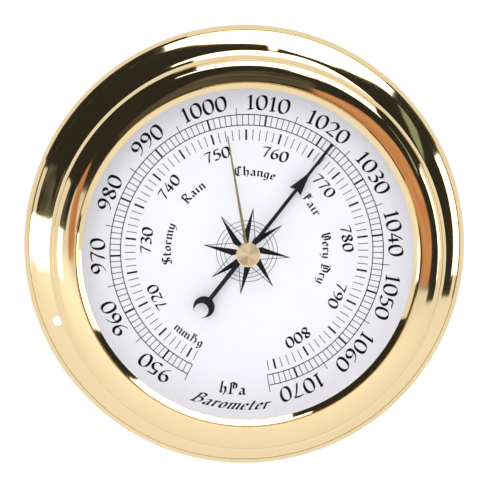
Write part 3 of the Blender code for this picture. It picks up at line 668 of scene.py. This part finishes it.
def build_numerals():
    ink = Print()
    hpa_foot_r, hpa_height = 45.7, 4.8
    mmhg_foot_r, mmhg_height = 30.9, 3.5
    pen = Pen(ink, FIGURES, 0.17, 0.26, squeeze=1.2)
    for hpa in range(950, HPA_HIGH, 10):
        pen.write(str(hpa), hpa_foot_r, hpa_angle(hpa), hpa_height)
    fine_pen = Pen(ink, FIGURES, 0.2, 0.29, squeeze=1.2)
    for mmhg in range(720, 801, 10):
        fine_pen.write(str(mmhg), mmhg_foot_r, hpa_angle(mmhg * HPA_PER_MMHG), mmhg_height)
    ink.lay("dial_numeral_print")


def build_words():
    ink = Print()
    word_foot_r, word_height = 24.5, 3.0
    pen = Pen(ink, LETTERS, 0.165, 0.125, 42, False, squeeze=1.45)
    words = (("Stormy", -92.6), ("Rain", -50.2), ("Change", -2.2), ("Fair", 46.0), ("Very Dry", 87.3))
    for word, degrees in words:
        pen.write(word, word_foot_r, degrees, word_height)
    pen.write("mmHg", 34.4, 206.3, 2.9, False)
    pen.write("hPa", 46.6, 177.6, 3.8, False)
    script = Pen(ink, LETTERS, 0.15, 0.12, 30, True, 0.45, 1.6)
    script.write("Barometer", 51.5, 178.6, 3.5, False, 0.1)
    ink.lay("dial_word_print")


def build_rose():
    """Eight kite arms, each black on its counter-clockwise half, over thin rings."""
    ink = Print()
    tip_r, wide_r, half_wide, line, half_ring = 14.0, 4.8, 1.95, 0.2, 0.085
    for radius in (7.25, 8.5, 9.85):
        ink.sector(radius - half_ring, radius + half_ring, 0, 360, 120)
    for degrees in range(0, 360, 45):
        tip = polar(tip_r, degrees)
        centre = (0.0, 0.0)
        side_x, side_z = polar(half_wide, degrees + 90)
        wide_x, wide_z = polar(wide_r, degrees)
        ink.patch([centre, (wide_x - side_x, wide_z - side_z), tip])
        ink.line(centre, (wide_x + side_x, wide_z + side_z), line)
        ink.line((wide_x + side_x, wide_z + side_z), tip, line)
        ink.line(centre, tip, line)
    ink.lay("dial_rose_print")


# ---------------------------------------------------------------- stage


def glow(name, colour, strength):
    material = bpy.data.materials.new(name)
    material.use_nodes = True
    tree = material.node_tree
    tree.nodes.remove(tree.nodes["Principled BSDF"])
    emission = tree.nodes.new("ShaderNodeEmission")
    emission.inputs["Color"].default_value = (*colour, 1)
    emission.inputs["Strength"].default_value = strength
    tree.links.new(emission.outputs["Emission"], tree.nodes["Material Output"].inputs["Surface"])
    return material


def streaked_glow(name, first, second):
    """A glow that drifts between two colours, for uneven reflections."""
    material = glow(name, first, 1.0)
    tree = material.node_tree
    drift = noise(tree, 5.0, 3.0, (1, 1, 2))
    tree.links.new(tinted(tree, drift, first, second), tree.nodes["Emission"].inputs["Color"])
    return material


def between(values, share):
    """A value along a list of evenly spaced ones."""
    place = share * (len(values) - 1)
    index = min(int(place), len(values) - 2)
    return values[index] + (values[index + 1] - values[index]) * (place - index)


def card(name, material, dome_r, start, end, near, far):
    """A reflector on a dome round the object, from one dial angle to another.

    Near and far are its edges, in degrees off the dome's axis, at even steps from start to end.
    That axis is where a mirror in the wall plane would show the viewer's own place.
    """
    steps, rows = 24, 4
    mirrored = Vector((-VIEWER.x, VIEWER.y, -VIEWER.z))
    tilt = Vector((0, -1, 0)).rotation_difference(mirrored)
    shape = bmesh.new()
    grid = []
    for row in range(rows + 1):
        line = []
        for step in range(steps + 1):
            share = step / steps
            inner, outer = between(near, share), between(far, share)
            off = radians(inner + (outer - inner) * row / rows)
            x, z = polar(dome_r * sin(off), start + (end - start) * share)
            line.append(shape.verts.new(tilt @ Vector((x, -dome_r * cos(off), z))))
        grid.append(line)
    for lower, upper in zip(grid, grid[1:]):
        for step in range(steps):
            shape.faces.new((lower[step], lower[step + 1], upper[step + 1], upper[step]))
    thing = mesh_object(name, shape, material)
    thing.visible_camera = False
    thing.visible_diffuse = False
    thing.visible_shadow = False
    thing.visible_transmission = False


# The viewer's direction, a little left of the dial's axis and above it, and the turn of the picture
VIEWER_LEFT, VIEWER_UP = radians(2.52), radians(4.70)
VIEWER = Vector((-sin(VIEWER_LEFT) * cos(VIEWER_UP), -cos(VIEWER_LEFT) * cos(VIEWER_UP), sin(VIEWER_UP)))
VIEWER_DISTANCE = 1.0
ROLL = 8.2

# Reflectors as (kind, start angle, end angle, near edge, far edge). A later one hangs in front
CARDS = (
    ("dark", 0, 360, (0, 0), (7, 7)),
    ("dark", 291, 462, (7, 7), (22, 22)),
    ("dark", 277, 466, (22, 22), (50, 50)),
    ("dark", 45, 67, (50, 50), (88, 88)),
    ("dark", 290, 345, (50, 50), (90, 90)),
    ("smoke", 312, 382, (8, 8, 10, 10, 10, 12), (12, 14, 18, 22, 22, 22)),
    ("amber", 22, 101, (10, 10, 9, 9, 10, 10), (15, 20, 22, 22, 22, 20)),
    ("amber", 268, 300, (10, 10, 12, 15, 19), (16, 18, 20, 21, 20)),
    ("olive", 49, 66, (41, 36, 32, 30, 29), (42, 42, 40, 36, 30)),
    ("smoke", 274, 292, (24, 26, 30, 36), (34, 44, 48, 50)),
    ("bright", 338, 406, (45, 39, 35, 34, 30, 32, 38, 45), (54, 54)),
    ("bright", 67, 100, (44, 44), (54, 54)),
    ("bright", 262, 277, (25, 25), (54, 54)),
    ("bright", 345, 405, (54, 54), (80, 80)),
    ("bright", 67, 95, (60, 60), (74, 74)),
)


def build_stage():
    glows = {
        "dark": glow("card_dark", (1.0, 0.94, 0.85), 0.034),
        "smoke": streaked_glow("card_smoke", (0.04, 0.038, 0.03), (0.16, 0.155, 0.13)),
        "amber": streaked_glow("card_amber", (0.62, 0.26, 0.13), (0.80, 0.46, 0.27)),
        "olive": glow("card_olive", (0.42, 0.57, 0.43), 0.8),
        "bright": glow("card_bright", (1.0, 1.0, 1.0), 3.0),
    }
    farthest, spacing = 1.5, 0.004
    for number, (kind, start, end, near, far) in enumerate(CARDS):
        dome_r = farthest - spacing * number
        card(f"card_{number}_{kind}", glows[kind], dome_r, start - ROLL, end - ROLL, near, far)
    floor_z, size = -0.35, 12.0
    shape = bmesh.new()
    corners = ((-size, -size), (size, -size), (size, size), (-size, size))
    shape.faces.new([shape.verts.new((x, y, floor_z)) for x, y in corners])
    material, shader = new_material("floor_white", (0.95, 0.95, 0.95), 0.0, 0.9)
    tree = material.node_tree
    drift = noise(tree, 2.0)
    tree.links.new(tinted(tree, drift, (0.95, 0.95, 0.95), (0.97, 0.97, 0.97)), shader.inputs["Base Color"])
    mesh_object("floor", shape, material)


def build_light():
    world = bpy.data.worlds.new("studio")
    bpy.context.scene.world = world
    world.use_nodes = True
    backdrop = world.node_tree.nodes["Background"]
    backdrop.inputs["Color"].default_value = (1, 1, 1, 1)
    backdrop.inputs["Strength"].default_value = 1.05
    lamp = bpy.data.lights.new("front_softbox", "AREA")
    lamp.shape = "DISK"
    lamp.size = 1.6
    lamp.energy = 14.5
    softbox = in_scene("front_softbox", lamp)
    softbox.location = (-0.5, -2.2, 1.0)
    softbox.rotation_euler = (-softbox.location).to_track_quat("-Z", "Y").to_euler()
    softbox.visible_glossy = False
    bpy.context.scene.view_settings.view_transform = "Standard"


def build_camera():
    data = bpy.data.cameras.new("camera")
    data.sensor_width = 36.0
    data.lens = 224.0
    data.shift_x = -0.0016
    data.shift_y = 0.003
    camera = in_scene("camera", data)
    base = (-VIEWER).to_track_quat("-Z", "Y").to_matrix().to_4x4()
    place = Vector((0, -0.0015, 0)) + VIEWER * VIEWER_DISTANCE
    camera.matrix_world = Matrix.Translation(place) @ base @ Matrix.Rotation(radians(ROLL), 4, "Z")
    bpy.context.scene.camera = camera


def finish_cad_nodes():
    """Gives the CAD nodes that stay in view the procedural version of their slot's finish."""
    for part in frame["record"]["subparts"]:
        node = frame["nodes"][part["node"]]
        node.data.materials.clear()
        node.data.materials.append(FINISHES[part["material_slot"]])


FINISHES = make_finishes()
build_drum()
build_flange()
build_bezel()
build_rear()
build_glass_and_walls()
build_hands()
build_scale()
build_numerals()
build_words()
build_rose()
finish_cad_nodes()
build_stage()
build_light()
build_camera()
